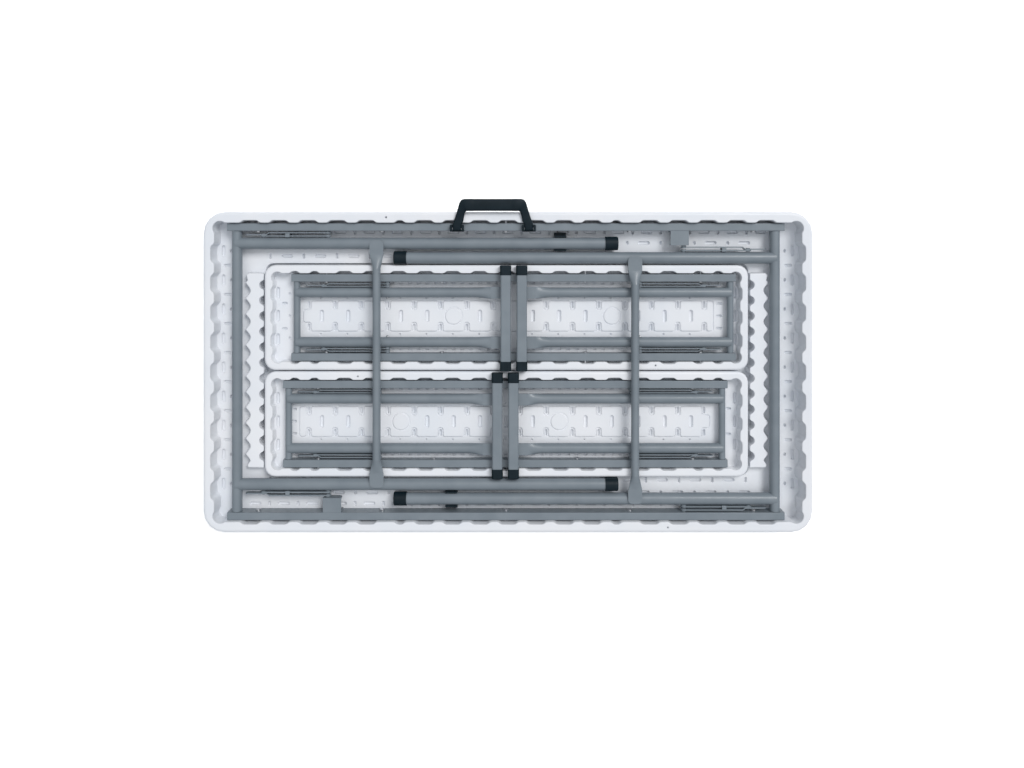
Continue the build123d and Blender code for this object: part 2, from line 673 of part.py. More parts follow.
with BuildPart() as foot_bar_caps:
    for side in (1, -1):
        outer_y = side * bar_length / 2
        inner_y = side * (bar_length / 2 - FOOT_CAP_LENGTH)
        with BuildSketch(upright(max(outer_y, inner_y))):
            with Locations((foot_x, bar_z + 0.2)):
                RectangleRounded(FOOT_BAR_WIDTH, FOOT_BAR_HEIGHT + 0.4, 4)
        extrude(amount=FOOT_CAP_LENGTH)
    fillet(foot_bar_caps.edges().group_by(Axis.Y)[-1], 1.5)
    fillet(foot_bar_caps.edges().group_by(Axis.Y)[0], 1.5)
    with BuildSketch(upright(bar_length / 2 - 3)):
        with Locations((foot_x, bar_z)):
            RectangleRounded(FOOT_BAR_WIDTH - 1.6, FOOT_BAR_HEIGHT, 3.5)
    extrude(amount=bar_length - 6, mode=Mode.SUBTRACT)

leg_side = BENCH_LEG_Y + BENCH_LEG_D / 2
bench_leg_set = {
    "pivot_tube": bench_pivot_tube.part,
    "legs": bench_legs.part,
    "foot_bar": foot_bar.part,
    "foot_bar_caps": foot_bar_caps.part,
    "rail_links": pair(
        rail_link, BENCH_BRACE, bench_pivot_x, BENCH_PIVOT_Z, leg_side, -leg_side
    ),
    "leg_links": pair(
        leg_link, BENCH_BRACE, bench_pivot_x, BENCH_PIVOT_Z, leg_side, -leg_side
    ),
}
for bench, frame_x, bench_y in (
    ("upper_bench", UPPER_FRAME_X, BENCH_Y),
    ("lower_bench", LOWER_FRAME_X, -BENCH_Y),
):
    seat_place = (BENCH_X, bench_y, 0)
    frame_place = (frame_x, bench_y, 0)
    save(bench_seat(frame_x - BENCH_X).translate(seat_place), f"{bench}_seat")
    save(bench_rail.translate(frame_place), f"{bench}_upper_rail")
    save(bench_rail.rotate(Axis.Z, 180).translate(frame_place), f"{bench}_lower_rail")
    save(bench_screws.part.translate(frame_place), f"{bench}_screws")
    for name, piece in bench_leg_set.items():
        save(piece.translate(frame_place), f"{bench}_left_{name}")
        save(piece.rotate(Axis.Z, 180).translate(frame_place), f"{bench}_right_{name}")
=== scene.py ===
import json
import math

import bmesh
import bpy
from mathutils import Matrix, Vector
from mathutils.geometry import delaunay_2d_cdt


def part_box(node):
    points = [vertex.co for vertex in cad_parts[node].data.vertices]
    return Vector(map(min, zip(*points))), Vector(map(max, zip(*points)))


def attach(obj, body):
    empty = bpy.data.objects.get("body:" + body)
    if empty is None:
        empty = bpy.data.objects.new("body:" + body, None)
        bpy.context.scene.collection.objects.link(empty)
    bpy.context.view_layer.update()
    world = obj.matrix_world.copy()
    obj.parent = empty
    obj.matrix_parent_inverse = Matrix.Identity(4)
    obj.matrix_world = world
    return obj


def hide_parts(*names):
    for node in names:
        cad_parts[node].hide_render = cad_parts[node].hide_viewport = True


# Looks of a folding picnic table that lies on its tabletop, with two benches stored in its
# underside. Outlines are drawn in millimetres in the frame's own axes, and scaled to metres when a
# mesh is made.

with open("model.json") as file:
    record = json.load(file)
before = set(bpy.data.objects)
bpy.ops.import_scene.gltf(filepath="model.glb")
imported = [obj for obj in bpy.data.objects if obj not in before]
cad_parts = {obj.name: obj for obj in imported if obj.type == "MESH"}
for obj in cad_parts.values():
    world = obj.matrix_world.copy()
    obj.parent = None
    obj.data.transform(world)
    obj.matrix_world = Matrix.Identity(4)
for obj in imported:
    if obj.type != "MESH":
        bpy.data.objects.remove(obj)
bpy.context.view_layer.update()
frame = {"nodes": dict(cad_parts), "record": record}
scene = bpy.context.scene
MM = 0.001


# ---------------------------------------------------------------- materials
def material(name, colour, roughness, metallic=0.0, coat=0.0):
    """A node material with one Principled shader, and its node tree to add patterns to."""
    made = bpy.data.materials.new(name)
    made.use_nodes = True
    shader = made.node_tree.nodes["Principled BSDF"]
    shader.inputs["Base Color"].default_value = (*colour, 1)
    shader.inputs["Roughness"].default_value = roughness
    shader.inputs["Metallic"].default_value = metallic
    shader.inputs["Coat Weight"].default_value = coat
    return made, shader


def noise(made, scale, detail=2.0):
    """Noise over the object's own coordinates, in metres. Returns its value socket."""
    nodes = made.node_tree.nodes
    place = nodes.new("ShaderNodeTexCoord")
    texture = nodes.new("ShaderNodeTexNoise")
    texture.inputs["Scale"].default_value = scale
    texture.inputs["Detail"].default_value = detail
    made.node_tree.links.new(place.outputs["Object"], texture.inputs["Vector"])
    return texture.outputs["Fac"]


def tint(made, shader, value, dark, light, low=0.35, high=0.65):
    """The base colour varies from dark to light with a value."""
    ramp = made.node_tree.nodes.new("ShaderNodeValToRGB")
    ramp.color_ramp.elements[0].position = low
    ramp.color_ramp.elements[0].color = (*dark, 1)
    ramp.color_ramp.elements[1].position = high
    ramp.color_ramp.elements[1].color = (*light, 1)
    made.node_tree.links.new(value, ramp.inputs["Fac"])
    made.node_tree.links.new(ramp.outputs["Color"], shader.inputs["Base Color"])


def vary_roughness(made, shader, value, low, high):
    """The roughness varies between two values with a noise value."""
    span = made.node_tree.nodes.new("ShaderNodeMapRange")
    span.inputs["From Min"].default_value = 0.3
    span.inputs["From Max"].default_value = 0.7
    span.inputs["To Min"].default_value = low
    span.inputs["To Max"].default_value = high
    made.node_tree.links.new(value, span.inputs["Value"])
    made.node_tree.links.new(span.outputs["Result"], shader.inputs["Roughness"])


def bump(made, shader, values):
    """Adds bumps one over another: values are (noise value, height in metres)."""
    links = made.node_tree.links
    normal = None
    for value, height in values:
        node = made.node_tree.nodes.new("ShaderNodeBump")
        node.inputs["Strength"].default_value = 1.0
        node.inputs["Distance"].default_value = height
        links.new(value, node.inputs["Height"])
        if normal is not None:
            links.new(normal, node.inputs["Normal"])
        normal = node.outputs["Normal"]
    links.new(normal, shader.inputs["Normal"])


def white_plastic():
    """Blow-moulded polyethylene: a fine pebble grain and slow waves of the skin."""
    made, shader = material("white_polyethylene", (0.8, 0.82, 0.85), 0.42)
    tint(made, shader, noise(made, 9.0, 3.0), (0.745, 0.775, 0.82), (0.79, 0.805, 0.835))
    vary_roughness(made, shader, noise(made, 60.0), 0.36, 0.5)
    bump(made, shader, [(noise(made, 22.0), 0.0011), (noise(made, 900.0, 3.0), 0.00018)])
    return made


def grey_paint():
    """Powder coat on steel, with a fine orange peel."""
    made, shader = material("grey_powder_coat", (0.2, 0.22, 0.24), 0.4, coat=0.12)
    tint(made, shader, noise(made, 25.0, 4.0), (0.170, 0.203, 0.232), (0.196, 0.230, 0.260))
    vary_roughness(made, shader, noise(made, 120.0), 0.34, 0.46)
    bump(made, shader, [(noise(made, 700.0, 2.0), 0.00009)])
    return made


def black_plastic():
    """Moulded black plastic with a fine grain."""
    made, shader = material("black_moulded_plastic", (0.022, 0.027, 0.036), 0.45)
    tint(made, shader, noise(made, 40.0, 3.0), (0.003, 0.010, 0.015), (0.007, 0.016, 0.023))
    shader.inputs["Specular IOR Level"].default_value = 0.18
    vary_roughness(made, shader, noise(made, 200.0), 0.38, 0.55)
    bump(made, shader, [(noise(made, 1100.0, 2.0), 0.00014)])
    return made


def zinc_steel():
    """Zinc-plated steel of the screws, rivets and rings."""
    made, shader = material("zinc_plated_steel", (0.6, 0.61, 0.63), 0.32, metallic=1.0)
    tint(made, shader, noise(made, 150.0, 4.0), (0.5, 0.51, 0.54), (0.68, 0.69, 0.7))
    vary_roughness(made, shader, noise(made, 300.0), 0.24, 0.42)
    bump(made, shader, [(noise(made, 1500.0, 2.0), 0.00006)])
    return made


looks = {
    "white_plastic": white_plastic(),
    "grey_paint": grey_paint(),
    "black_plastic": black_plastic(),
    "zinc_steel": zinc_steel(),
}
for part in frame["record"]["subparts"]:
    for material_slot in frame["nodes"][part["node"]].material_slots:
        material_slot.material = looks[part["material_slot"]]


# ---------------------------------------------------------------- outlines and shells
def rounded(corners, step=0.4):
    """Closed outline through corners (x, y, radius), each corner turned into an arc."""
    outline = []
    for i, (x, y, radius) in enumerate(corners):
        corner = Vector((x, y))
        back = Vector(corners[i - 1][:2]) - corner
        ahead = Vector(corners[(i + 1) % len(corners)][:2]) - corner
        lengths = back.length, ahead.length
        back.normalize()
        ahead.normalize()
        turn = math.pi - back.angle(ahead)
        if radius <= 0 or turn < 0.02:
            outline.append((x, y))
            continue
        reach = min(radius * math.tan(turn / 2), 0.48 * lengths[0], 0.48 * lengths[1])
        radius = reach / math.tan(turn / 2)
        centre = corner + (back + ahead).normalized() * (radius / math.cos(turn / 2))
        start = corner + back * reach - centre
        side = -1 if back.x * ahead.y - back.y * ahead.x > 0 else 1
        count = max(2, math.ceil(turn / step))
        for n in range(count + 1):
            angle = side * turn * n / count
            outline.append(
                (
                    centre.x + start.x * math.cos(angle) - start.y * math.sin(angle),
                    centre.y + start.x * math.sin(angle) + start.y * math.cos(angle),
                )
            )
    return outline


def rectangle(x, y, length, width, radius):
    """Rounded rectangle about (x, y), anticlockwise."""
    signs = ((1, -1), (1, 1), (-1, 1), (-1, -1))
    return rounded([(x + a * length / 2, y + b * width / 2, radius) for a, b in signs])


def arc(x, y, radius, start, end, count):
    """Points of an arc, as corners with no radius. Angles in degrees."""
    angles = [math.radians(start + (end - start) * n / count) for n in range(count + 1)]
    return [(x + radius * math.cos(a), y + radius * math.sin(a), 0) for a in angles]


POCKET_SLOPE, POCKET_ROUND = 5.5, 8


def pocketed(x, y, length, width, bulge, inset, long_side, short_side):
    """Inside outline of a tray whose wall has pockets and bulged corners.

    A side is its pockets' depth and their (place, opening). Each corner bulge is an arc about a
    point that lies inset inside both walls.
    """
    dip = math.degrees(math.acos(inset / bulge))
    sides = (
        (0, length / 2, width / 2, short_side),
        (90, width / 2, length / 2, long_side),
        (180, length / 2, width / 2, short_side),
        (270, width / 2, length / 2, long_side),
    )
    corners = []
    for turn, reach, half, (depth, pockets) in sides:
        c, s = round(math.cos(math.radians(turn))), round(math.sin(math.radians(turn)))
        side = []
        slope = min(depth, POCKET_SLOPE)
        flip = -1 if turn in (90, 180) else 1
        for place, opening in sorted((flip * p, w) for p, w in pockets):
            side.append((reach, place - opening / 2, POCKET_ROUND))
            side.append((reach + depth, place - opening / 2 + slope, POCKET_ROUND))
            side.append((reach + depth, place + opening / 2 - slope, POCKET_ROUND))
            side.append((reach, place + opening / 2, POCKET_ROUND))
        side += arc(reach - inset, half - inset, bulge, -dip, 90 + dip, 12)
        corners += [(x + u * c - v * s, y + u * s + v * c, r) for u, v, r in side]
    return rounded(corners)


def normals(outline):
    """Mitred left-hand normals of a closed outline, which point inwards if it is anticlockwise."""
    found = []
    for i, point in enumerate(outline):
        edges = []
        for a, b in ((outline[i - 1], point), (point, outline[(i + 1) % len(outline)])):
            along = Vector(b) - Vector(a)
            if along.length > 1e-9:
                edges.append(Vector((-along.y, along.x)).normalized())
        together = sum(edges, Vector((0, 0)))
        share = max(1 + edges[0].dot(edges[-1]), 0.5) if len(edges) == 2 else 1
        found.append(together / share)
    return found


def tidy(outline):
    """The outline without points that fall on each other."""
    return [p for i, p in enumerate(outline) if (Vector(p) - Vector(outline[i - 1])).length > 0.02]


def flooded(triangles, fences, start):
    """The triangles that a flood from the start edge reaches without crossing a fence edge."""
    beside = {}
    for t, triangle in enumerate(triangles):
        for i in range(3):
            beside.setdefault(frozenset((triangle[i - 1], triangle[i])), []).append(t)
    waiting = list(beside[start])
    reached = set(waiting)
    while waiting:
        triangle = triangles[waiting.pop()]
        for i in range(3):
            edge = frozenset((triangle[i - 1], triangle[i]))
            if edge not in fences:
                fresh = [t for t in beside[edge] if t not in reached]
                reached.update(fresh)
                waiting += fresh
    return sorted(reached)


SLOT_DEPTH = 5.5


class Shell:
    """A moulded piece, gathered as walls that follow outlines and flat plates between them."""

    def __init__(self):
        self.points = []
        self.faces = []
        self.smooth = []

    def add_faces(self, faces, smooth):
        self.faces += faces
        self.smooth += [smooth] * len(faces)

    def ring(self, outline, z):
        first = len(self.points)
        self.points += [(x, y, z) for x, y in outline]
        return list(range(first, first + len(outline)))

    def wall(self, outline, profile, share=None):
        """Rings at each (inset, z) of the profile, joined. Returns the first and last outlines."""
        outward = normals(outline)
        shares = [share(x, y) if share else 1 for x, y in outline]
        rings = []
        outlines = []
        for inset, z in profile:
            moved = [
                (x + n.x * inset * k, y + n.y * inset * k)
                for (x, y), n, k in zip(outline, outward, shares)
            ]
            outlines.append(moved)
            rings.append(self.ring(moved, z))
        count = len(outline)
        for low, high in zip(rings, rings[1:]):
            self.add_faces(
                [(low[i - 1], low[i], high[i], high[i - 1]) for i in range(count)], True
            )
        return outlines[0], outlines[-1]

    def plate(self, z, outer, holes=()):
        """Flat face at z inside the outer outline and outside the holes."""
        points = []
        edges = []
        for outline in (outer, *holes):
            first, count = len(points), len(outline)
            points += [Vector(p) for p in outline]
            edges += [(first + i, first + (i + 1) % count) for i in range(count)]
        found, lines, triangles, _, sources, _ = delaunay_2d_cdt(points, edges, [], 1, 1e-5)
        base = self.ring([tuple(p) for p in found], z)
        fences = {frozenset(line) for line, source in zip(lines, sources) if source}
        start = next(line for line, source in zip(lines, sources) if 0 in source)
        kept = flooded(triangles, fences, frozenset(start))
        self.add_faces([tuple(base[i] for i in triangles[t]) for t in kept], False)

    def dimple(self, outline, z, depth, lip=0.6):
        """A pit with a rounded edge and flat bottom. Returns its mouth, a hole for the plate."""
        mouth, bottom = self.wall(
            outline,
            [(0, z), (lip * 0.4, z - lip * 0.25), (lip, z - lip), (lip + 0.4, z - depth)],
        )
        self.add_faces([tuple(self.ring(bottom, z - depth))], False)
        return mouth

    def slot_dimple(self, x, y, length, width, z):
        """A long dimple with steep walls and a flat bottom. Returns its mouth."""
        mouth, bottom = self.wall(
            oval(x, y, length, width),
            [(-0.4, z), (0, z - 0.5), (1.1, z - 4), (1.5, z - SLOT_DEPTH)],
        )
        self.add_faces([tuple(self.ring(bottom, z - SLOT_DEPTH))], False)
        return mouth

    def build(self, name, look):
        mesh = bpy.data.meshes.new(name)
        mesh.from_pydata([(x * MM, y * MM, z * MM) for x, y, z in self.points], [], self.faces)
        mesh.polygons.foreach_set("use_smooth", self.smooth)
        piece = bpy.data.objects.new(name, mesh)
        scene.collection.objects.link(piece)
        weld(mesh)
        mesh.materials.append(looks[look])
        return piece


def weld(mesh):
    """Joins points that fall on each other and turns all faces outwards."""
    work = bmesh.new()
    work.from_mesh(mesh)
    bmesh.ops.remove_doubles(work, verts=work.verts, dist=2e-6)
    bmesh.ops.dissolve_degenerate(work, dist=1e-6, edges=work.edges)
    bmesh.ops.recalc_face_normals(work, faces=work.faces)
    work.to_mesh(mesh)
    work.free()


def oval(x, y, length, width):
    """Slot-shaped outline, its longer size along X or Y."""
    return rectangle(x, y, length, width, min(length, width) / 2 - 0.01)


# ---------------------------------------------------------------- tabletop
def corners_of(node):
    """Lowest and highest corner of a CAD node in millimetres."""
    low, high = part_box(node)
    return low / MM, high / MM


top_low, top_high = corners_of("tabletop")
TOP_LENGTH, TOP_WIDTH, RIM_Z = top_high.x - top_low.x, top_high.y - top_low.y, top_high.z
TOP_CORNER = 40
RIM_LAND = 20.5
LEDGE_Z, END_PAD_Z, BAY_Z = 26, 40, 10
TRAY_LENGTH, TRAY_WIDTH = TOP_LENGTH - 2 * RIM_LAND - 1, TOP_WIDTH - 2 * RIM_LAND
RIM_BULGE, RIM_BULGE_INSET = 13.5, 10.5
RIM_POCKET_LONG, RIM_POCKET_SHORT = 4.5, 7
BAY_X, BAY_LENGTH, BAY_WIDTH = -2, 912, 401
END_PAD_LENGTH, END_PAD_WIDTH = 34, 364
NOTCH_PITCH, NOTCH_RADIUS = 29.2, 8.5
WAVE_DEPTH, WAVE_SHIFT = 9, 4

MIDDLE_PITCH, OUTER_PITCH, SHORT_PITCH = 51.8, 53.9, 55
RIM_OPENING = 36
RIM_VENTS = ((-226, 287.2), (296, -287.2))
OUTER_POCKETS = [262.5 + k * OUTER_PITCH for k in range(5)]
rim_pockets_long = [(k * MIDDLE_PITCH, RIM_OPENING) for k in range(-3, 4)]
rim_pockets_long += [(side * 200.7, 19) for side in (1, -1)]
rim_pockets_long += [(side * u, RIM_OPENING) for side in (1, -1) for u in OUTER_POCKETS]
rim_pockets_short = [(k * SHORT_PITCH, 37) for k in range(-4, 5)]


def bay_outline():
    """The bench bay, with half-round notches in its two ends."""
    corners = []
    half, reach = BAY_WIDTH / 2, BAY_LENGTH / 2
    for side in (1, -1):
        x = BAY_X + side * reach
        corners.append((x, -side * half, 14))
        for k in range(-6, 6):
            y = side * (k + 0.5) * NOTCH_PITCH
            turn = 0 if side > 0 else 180
            corners.append((x, y - side * (NOTCH_RADIUS + 2), 0))
            corners += arc(x, y, NOTCH_RADIUS, turn - 75, turn + 75, 8)
            corners.append((x, y + side * (NOTCH_RADIUS + 2), 0))
        corners.append((x, side * half, 14))
    return tidy(rounded(corners))


def end_pad_outline(side):
    """Pad beside the bay's end: a wavy outer edge, and notches along the edge at the bay."""
    inner = BAY_X + side * (BAY_LENGTH / 2 + 0.3)
    outer = inner + side * END_PAD_LENGTH
    half = END_PAD_WIDTH / 2
    turn = 0 if side > 0 else 180
    across = [2, 4, 6, 8, 14]
    corners = [(inner, -side * half, 1)]
    corners += [(inner + side * d, -side * half, 0) for d in across]
    corners.append((outer, -side * half, 9))
    count = 260
    for n in range(9, count - 8):
        y = side * half * (2 * n / count - 1)
        turn_on = 2 * math.pi * (y - WAVE_SHIFT) / NOTCH_PITCH
        dip = WAVE_DEPTH * (0.5 + 0.5 * math.cos(turn_on)) ** 0.6
        corners.append((outer - side * dip, y, 0))
    corners.append((outer, side * half, 9))
    corners += [(inner + side * d, side * half, 0) for d in reversed(across)]
    corners.append((inner, side * half, 1))
    for k in range(5, -7, -1):
        y = side * (k + 0.5) * NOTCH_PITCH
        corners.append((inner, y + side * (NOTCH_RADIUS + 2), 0))
        corners += arc(inner, y, NOTCH_RADIUS, turn + 75, turn - 75, 8)
        corners.append((inner, y - side * (NOTCH_RADIUS + 2), 0))
    return tidy(rounded(corners))


def ledge_dimples(shell):
    """Moulded dimples of the ledge: columns along the ends and rows along both sides."""
    holes = []

    def long(x, y, length, width):
        holes.append(shell.slot_dimple(x, y, length, width, LEDGE_Z))

    def short(x, y, length, width):
        holes.append(shell.dimple(oval(x, y, length, width), LEDGE_Z, 7, 0.6))

    for side in (1, -1):
        for k in range(-4, 5):
            y = k * SHORT_PITCH + 4
            long(side * 538, y, 6.5, 21)
            short(side * 523.5, y, 5.5, 7.5)
            if k < 4:
                long(side * 530, y + SHORT_PITCH / 2, 15, 6)
    rows = [k * MIDDLE_PITCH for k in range(-3, 4)]
    rows += [side * place for side in (1, -1) for place in (209, *OUTER_POCKETS)]
    rows.sort()
    for y in (259.8, -253.8):
        for x, after in zip(rows, rows[1:] + [rows[-1] + OUTER_PITCH]):
            long(x, y, 22, 6.8)
            if after < OUTER_POCKETS[-1] + 1:
                short((x + after) / 2, y, 6, 10)
    for side in (1, -1):
        for k in range(4):
            for y in (239, -233):
                long(side * (257 + k * 63.3), y, 22, 6.8)
                short(side * (225.5 + k * 63.4), y, 6.5, 8)
            for y in (214.4, -209.3):
                long(side * (228.9 + k * 63), y, 21, 6.6)
                short(side * (260.5 + k * 63), y, 5.5, 11.5)
    return holes


def tabletop():
    shell = Shell()
    edge = rectangle(0, 0, TOP_LENGTH, TOP_WIDTH, TOP_CORNER)
    bottom, lip = shell.wall(
        edge,
        [(6, 0), (3.4, 0.5), (1.4, 1.8), (0.3, 3.8), (0, 6), (0, 20), (0.9, 21), (0.9, 24)]
        + [(0, 25), (0, RIM_Z - 7), (0.5, RIM_Z - 4), (1.8, RIM_Z - 1.7), (3.8, RIM_Z - 0.4)]
        + [(6.5, RIM_Z)],
    )
    shell.plate(0, bottom)
    long_side = RIM_POCKET_LONG, rim_pockets_long
    short_side = RIM_POCKET_SHORT, rim_pockets_short
    tray = pocketed(
        0, 0, TRAY_LENGTH, TRAY_WIDTH, RIM_BULGE, RIM_BULGE_INSET, long_side, short_side
    )
    tray = tidy(tray)
    mouth, foot = shell.wall(
        tray,
        [(-1.6, RIM_Z), (-0.7, RIM_Z - 0.3), (-0.1, RIM_Z - 1.2), (0.1, RIM_Z - 3)]
        + [(1.1, LEDGE_Z + 2), (1.4, LEDGE_Z + 0.7), (1.9, LEDGE_Z)],
    )
    vents = [shell.dimple(oval(x, y, 4.4, 4.39), RIM_Z, 14, 0.2) for x, y in RIM_VENTS]
    shell.plate(RIM_Z, lip, [mouth, *vents])
    bay_mouth, bay_foot = shell.wall(
        bay_outline(),
        [(-1.2, LEDGE_Z), (-0.4, LEDGE_Z - 0.4), (0, LEDGE_Z - 1.2), (0.3, BAY_Z + 1)]
        + [(0.8, BAY_Z)],
    )
    shell.plate(BAY_Z, bay_foot)
    shell.plate(LEDGE_Z, foot, [bay_mouth, *ledge_dimples(shell)])
    for side in (1, -1):
        inner = BAY_X + side * BAY_LENGTH / 2

        def slope(x, y):
            away = side * (x - inner)
            at_end = abs(y) > END_PAD_WIDTH / 2 - 3
            return min(1, max(0.12, (away - 1) / 6 if at_end else (away - 10) / 12))

        base, crown = shell.wall(
            end_pad_outline(side),
            [(-2.4, LEDGE_Z - 1), (-2.2, LEDGE_Z + 1), (-0.8, END_PAD_Z - 3.5)]
            + [(-0.3, END_PAD_Z - 1.2), (0.6, END_PAD_Z - 0.3), (1.8, END_PAD_Z)],
            slope,
        )
        shell.plate(END_PAD_Z, crown)
        shell.plate(LEDGE_Z - 1, base)
    piece = shell.build("tabletop_shell", "white_plastic")
    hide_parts("tabletop")
    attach(piece, "table")


# ---------------------------------------------------------------- bench seats
seat_low, seat_high = corners_of("upper_bench_seat")
SEAT_LENGTH, SEAT_WIDTH = seat_high.x - seat_low.x, seat_high.y - seat_low.y
SEAT_RIM_Z, PAN_Z = seat_high.z, 24
PAN_LENGTH, PAN_WIDTH = SEAT_LENGTH - 31.4, SEAT_WIDTH - 31.4
SEAT_POCKET = 4
SEAT_BULGE, SEAT_BULGE_INSET = 11.5, 8.5
TILE_PITCH = 49.9
TILE_BAND = 57
TILES = 15
KEYHOLE = 17
TILE_Z = PAN_Z + 1.6
disc_tiles = {"upper_bench": (5, 11), "lower_bench": (3, 9)}
SEAT_LONG_PITCH, SEAT_SHORT_PITCH = 50.5, 44
PITS_PER_TILE, PIT_ROW = 3, 62.5
seat_pockets_long = [(k * SEAT_LONG_PITCH, 30) for k in range(-6, 7)]
seat_pockets_long += [(side * place, 18) for side in (1, -1) for place in (359, 396)]
seat_pockets_short = [(k * SEAT_SHORT_PITCH, 27) for k in range(-1, 2)]


def tile_band(x, y, turn):
    """The raised strip of tiles: its edge steps round a keyhole at each joint between tiles.

    One end has a full-width cap and the other a narrow tab; turn is 1 with the cap towards +X.
    """
    half, waist = TILE_BAND / 2, TILE_BAND / 2 - KEYHOLE
    reach = TILES * TILE_PITCH / 2
    joints = [(k - TILES / 2) * TILE_PITCH for k in range(TILES + 1)]
    top = []
    for joint in reversed(joints):
        top += [(joint + 5.2, half, 3.5), (joint + 5.2, waist, 4.6)]
        top += [(joint - 5.2, waist, 4.6), (joint - 5.2, half, 3.5)]
    top = top[:-2]
    under = [(u, -v, r) for u, v, r in reversed(top)]
    cap = [(reach + 17, -half, 7), (reach + 17, half, 7)]
    tab = [(-reach - 10, waist, 4), (-reach - 10, -waist, 4)]
    corners = cap + top + tab + under
    return tidy(rounded([(x + turn * u, y + turn * v, r) for u, v, r in corners]))


def pan_floor(shell, bench, x, y):
    """Tiles and dimples of a seat's pan. Returns the holes of the pan's plate."""
    turn = 1 if bench == "upper_bench" else -1
    start, crown = shell.wall(
        tile_band(x, y, turn),
        [(-2, PAN_Z), (-1.7, PAN_Z - 2.2), (-0.5, PAN_Z - 2.2), (0.3, TILE_Z - 0.4)]
        + [(1, TILE_Z)],
    )
    holes = [start]
    crown_holes = []
    for k in range(TILES):
        place = x + (k - (TILES - 1) / 2) * TILE_PITCH
        if k in disc_tiles[bench]:
            ring, inner = shell.wall(
                rectangle(place, y, 36, 36, 17.9),
                [(0, TILE_Z), (0.5, TILE_Z - 1.6), (1.6, TILE_Z - 1.6), (2.6, TILE_Z + 0.8)]
                + [(3.8, TILE_Z + 1.1)],
            )
            shell.plate(TILE_Z + 1.1, inner)
            crown_holes.append(ring)
        else:
            crown_holes.append(shell.slot_dimple(place, y, 7.6, 23.5, TILE_Z))
        for side in (1, -1):
            holes.append(
                shell.dimple(oval(place - 2, y + side * 34.4, 4, 3.99), PAN_Z, 5, 0.3)
            )
    shell.plate(TILE_Z, crown, crown_holes)
    for k in range(TILES + 1):
        joint = x + (k - TILES / 2) * TILE_PITCH
        for side in (1, -1):
            holes.append(shell.dimple(oval(joint, y + side * 21.5, 5.6, 14), PAN_Z, 6, 0.6))
    for k in range(-24, 25):
        for side in (1, -1):
            place = x + k * TILE_PITCH / PITS_PER_TILE
            holes.append(shell.dimple(oval(place, y + side * PIT_ROW, 8, 5), PAN_Z, 5, 0.4))
    for side in (1, -1):
        for k in range(-1, 2):
            place = y + k * SEAT_SHORT_PITCH
            holes.append(shell.slot_dimple(x + side * 432.5, place, 6.6, 22, PAN_Z))
    for k in (-1, 0, 1):
        holes.append(shell.dimple(oval(x - turn * 410, y + k * 42, 5, 6.5), PAN_Z, 5, 0.4))
        holes.append(shell.slot_dimple(x + turn * 403, y + k * 23.3, 12, 5, PAN_Z))
    for v in (24, -24):
        holes.append(shell.slot_dimple(x - turn * 420, y + v, 11, 5, PAN_Z))
    return holes


def seat(bench):
    low, high = corners_of(f"{bench}_seat")
    x, y = (low.x + high.x) / 2, (low.y + high.y) / 2
    shell = Shell()
    bottom, lip = shell.wall(
        rectangle(x, y, SEAT_LENGTH, SEAT_WIDTH, 20),
        [(5, BAY_Z), (2.6, BAY_Z + 0.6), (0.8, BAY_Z + 2.2), (0, BAY_Z + 5), (0, SEAT_RIM_Z - 5)]
        + [(0.4, SEAT_RIM_Z - 2.6), (1.6, SEAT_RIM_Z - 1), (3.6, SEAT_RIM_Z - 0.2)]
        + [(5, SEAT_RIM_Z)],
    )
    shell.plate(BAY_Z, bottom)
    long_side = SEAT_POCKET, seat_pockets_long
    short_side = SEAT_POCKET, seat_pockets_short
    pan = pocketed(
        x, y, PAN_LENGTH, PAN_WIDTH, SEAT_BULGE, SEAT_BULGE_INSET, long_side, short_side
    )
    pan = tidy(pan)
    mouth, foot = shell.wall(
        pan,
        [(-1.4, SEAT_RIM_Z), (-0.5, SEAT_RIM_Z - 0.3), (0, SEAT_RIM_Z - 1.4), (1, PAN_Z + 2.5)]
        + [(1.5, PAN_Z + 0.7), (2.1, PAN_Z)],
    )
    vent_side = -1 if bench == "upper_bench" else 1
    vent_x = 276 if bench == "upper_bench" else -281
    vent = shell.dimple(
        oval(vent_x, y + vent_side * (SEAT_WIDTH / 2 - 9), 4.2, 4.19), SEAT_RIM_Z, 12, 0.2
    )
    shell.plate(SEAT_RIM_Z, lip, [mouth, vent])
    shell.plate(PAN_Z, foot, pan_floor(shell, bench, x, y + 1))
    piece = shell.build(f"{bench}_seat_shell", "white_plastic")
    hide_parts(f"{bench}_seat")
    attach(piece, "table")


tabletop()
for bench in ("upper_bench", "lower_bench"):
    seat(bench)


# ---------------------------------------------------------------- carrying handle
def swept(name, stations, look, power=0.48, count=24):
    """Bar with a rounded-box section through stations (inner point, outer point, z, thickness)."""
    points = []
    faces = []
    for inner, outer, z, thick in stations:
        middle, reach = (inner + outer) / 2, (outer - inner) / 2
        for n in range(count):
            angle = 2 * math.pi * n / count
            c, s = math.cos(angle), math.sin(angle)
            spot = middle + reach * math.copysign(abs(c) ** power, c)
            points.append((spot.x, spot.y, z + math.copysign(abs(s) ** power, s) * thick / 2))
    for i in range(len(stations) - 1):
        for n in range(count):
            m = (n + 1) % count
            faces.append((i * count + n, i * count + m, (i + 1) * count + m, (i + 1) * count + n))
    faces.append(tuple(range(count))[::-1])
    faces.append(tuple(range((len(stations) - 1) * count, len(stations) * count)))
    mesh = bpy.data.meshes.new(name)
    mesh.from_pydata([Vector(p) * MM for p in points], [], faces)
    mesh.polygons.foreach_set("use_smooth", [True] * len(faces))
    mesh.materials.append(looks[look])
    weld(mesh)
    piece = bpy.data.objects.new(name, mesh)
    scene.collection.objects.link(piece)
    return piece


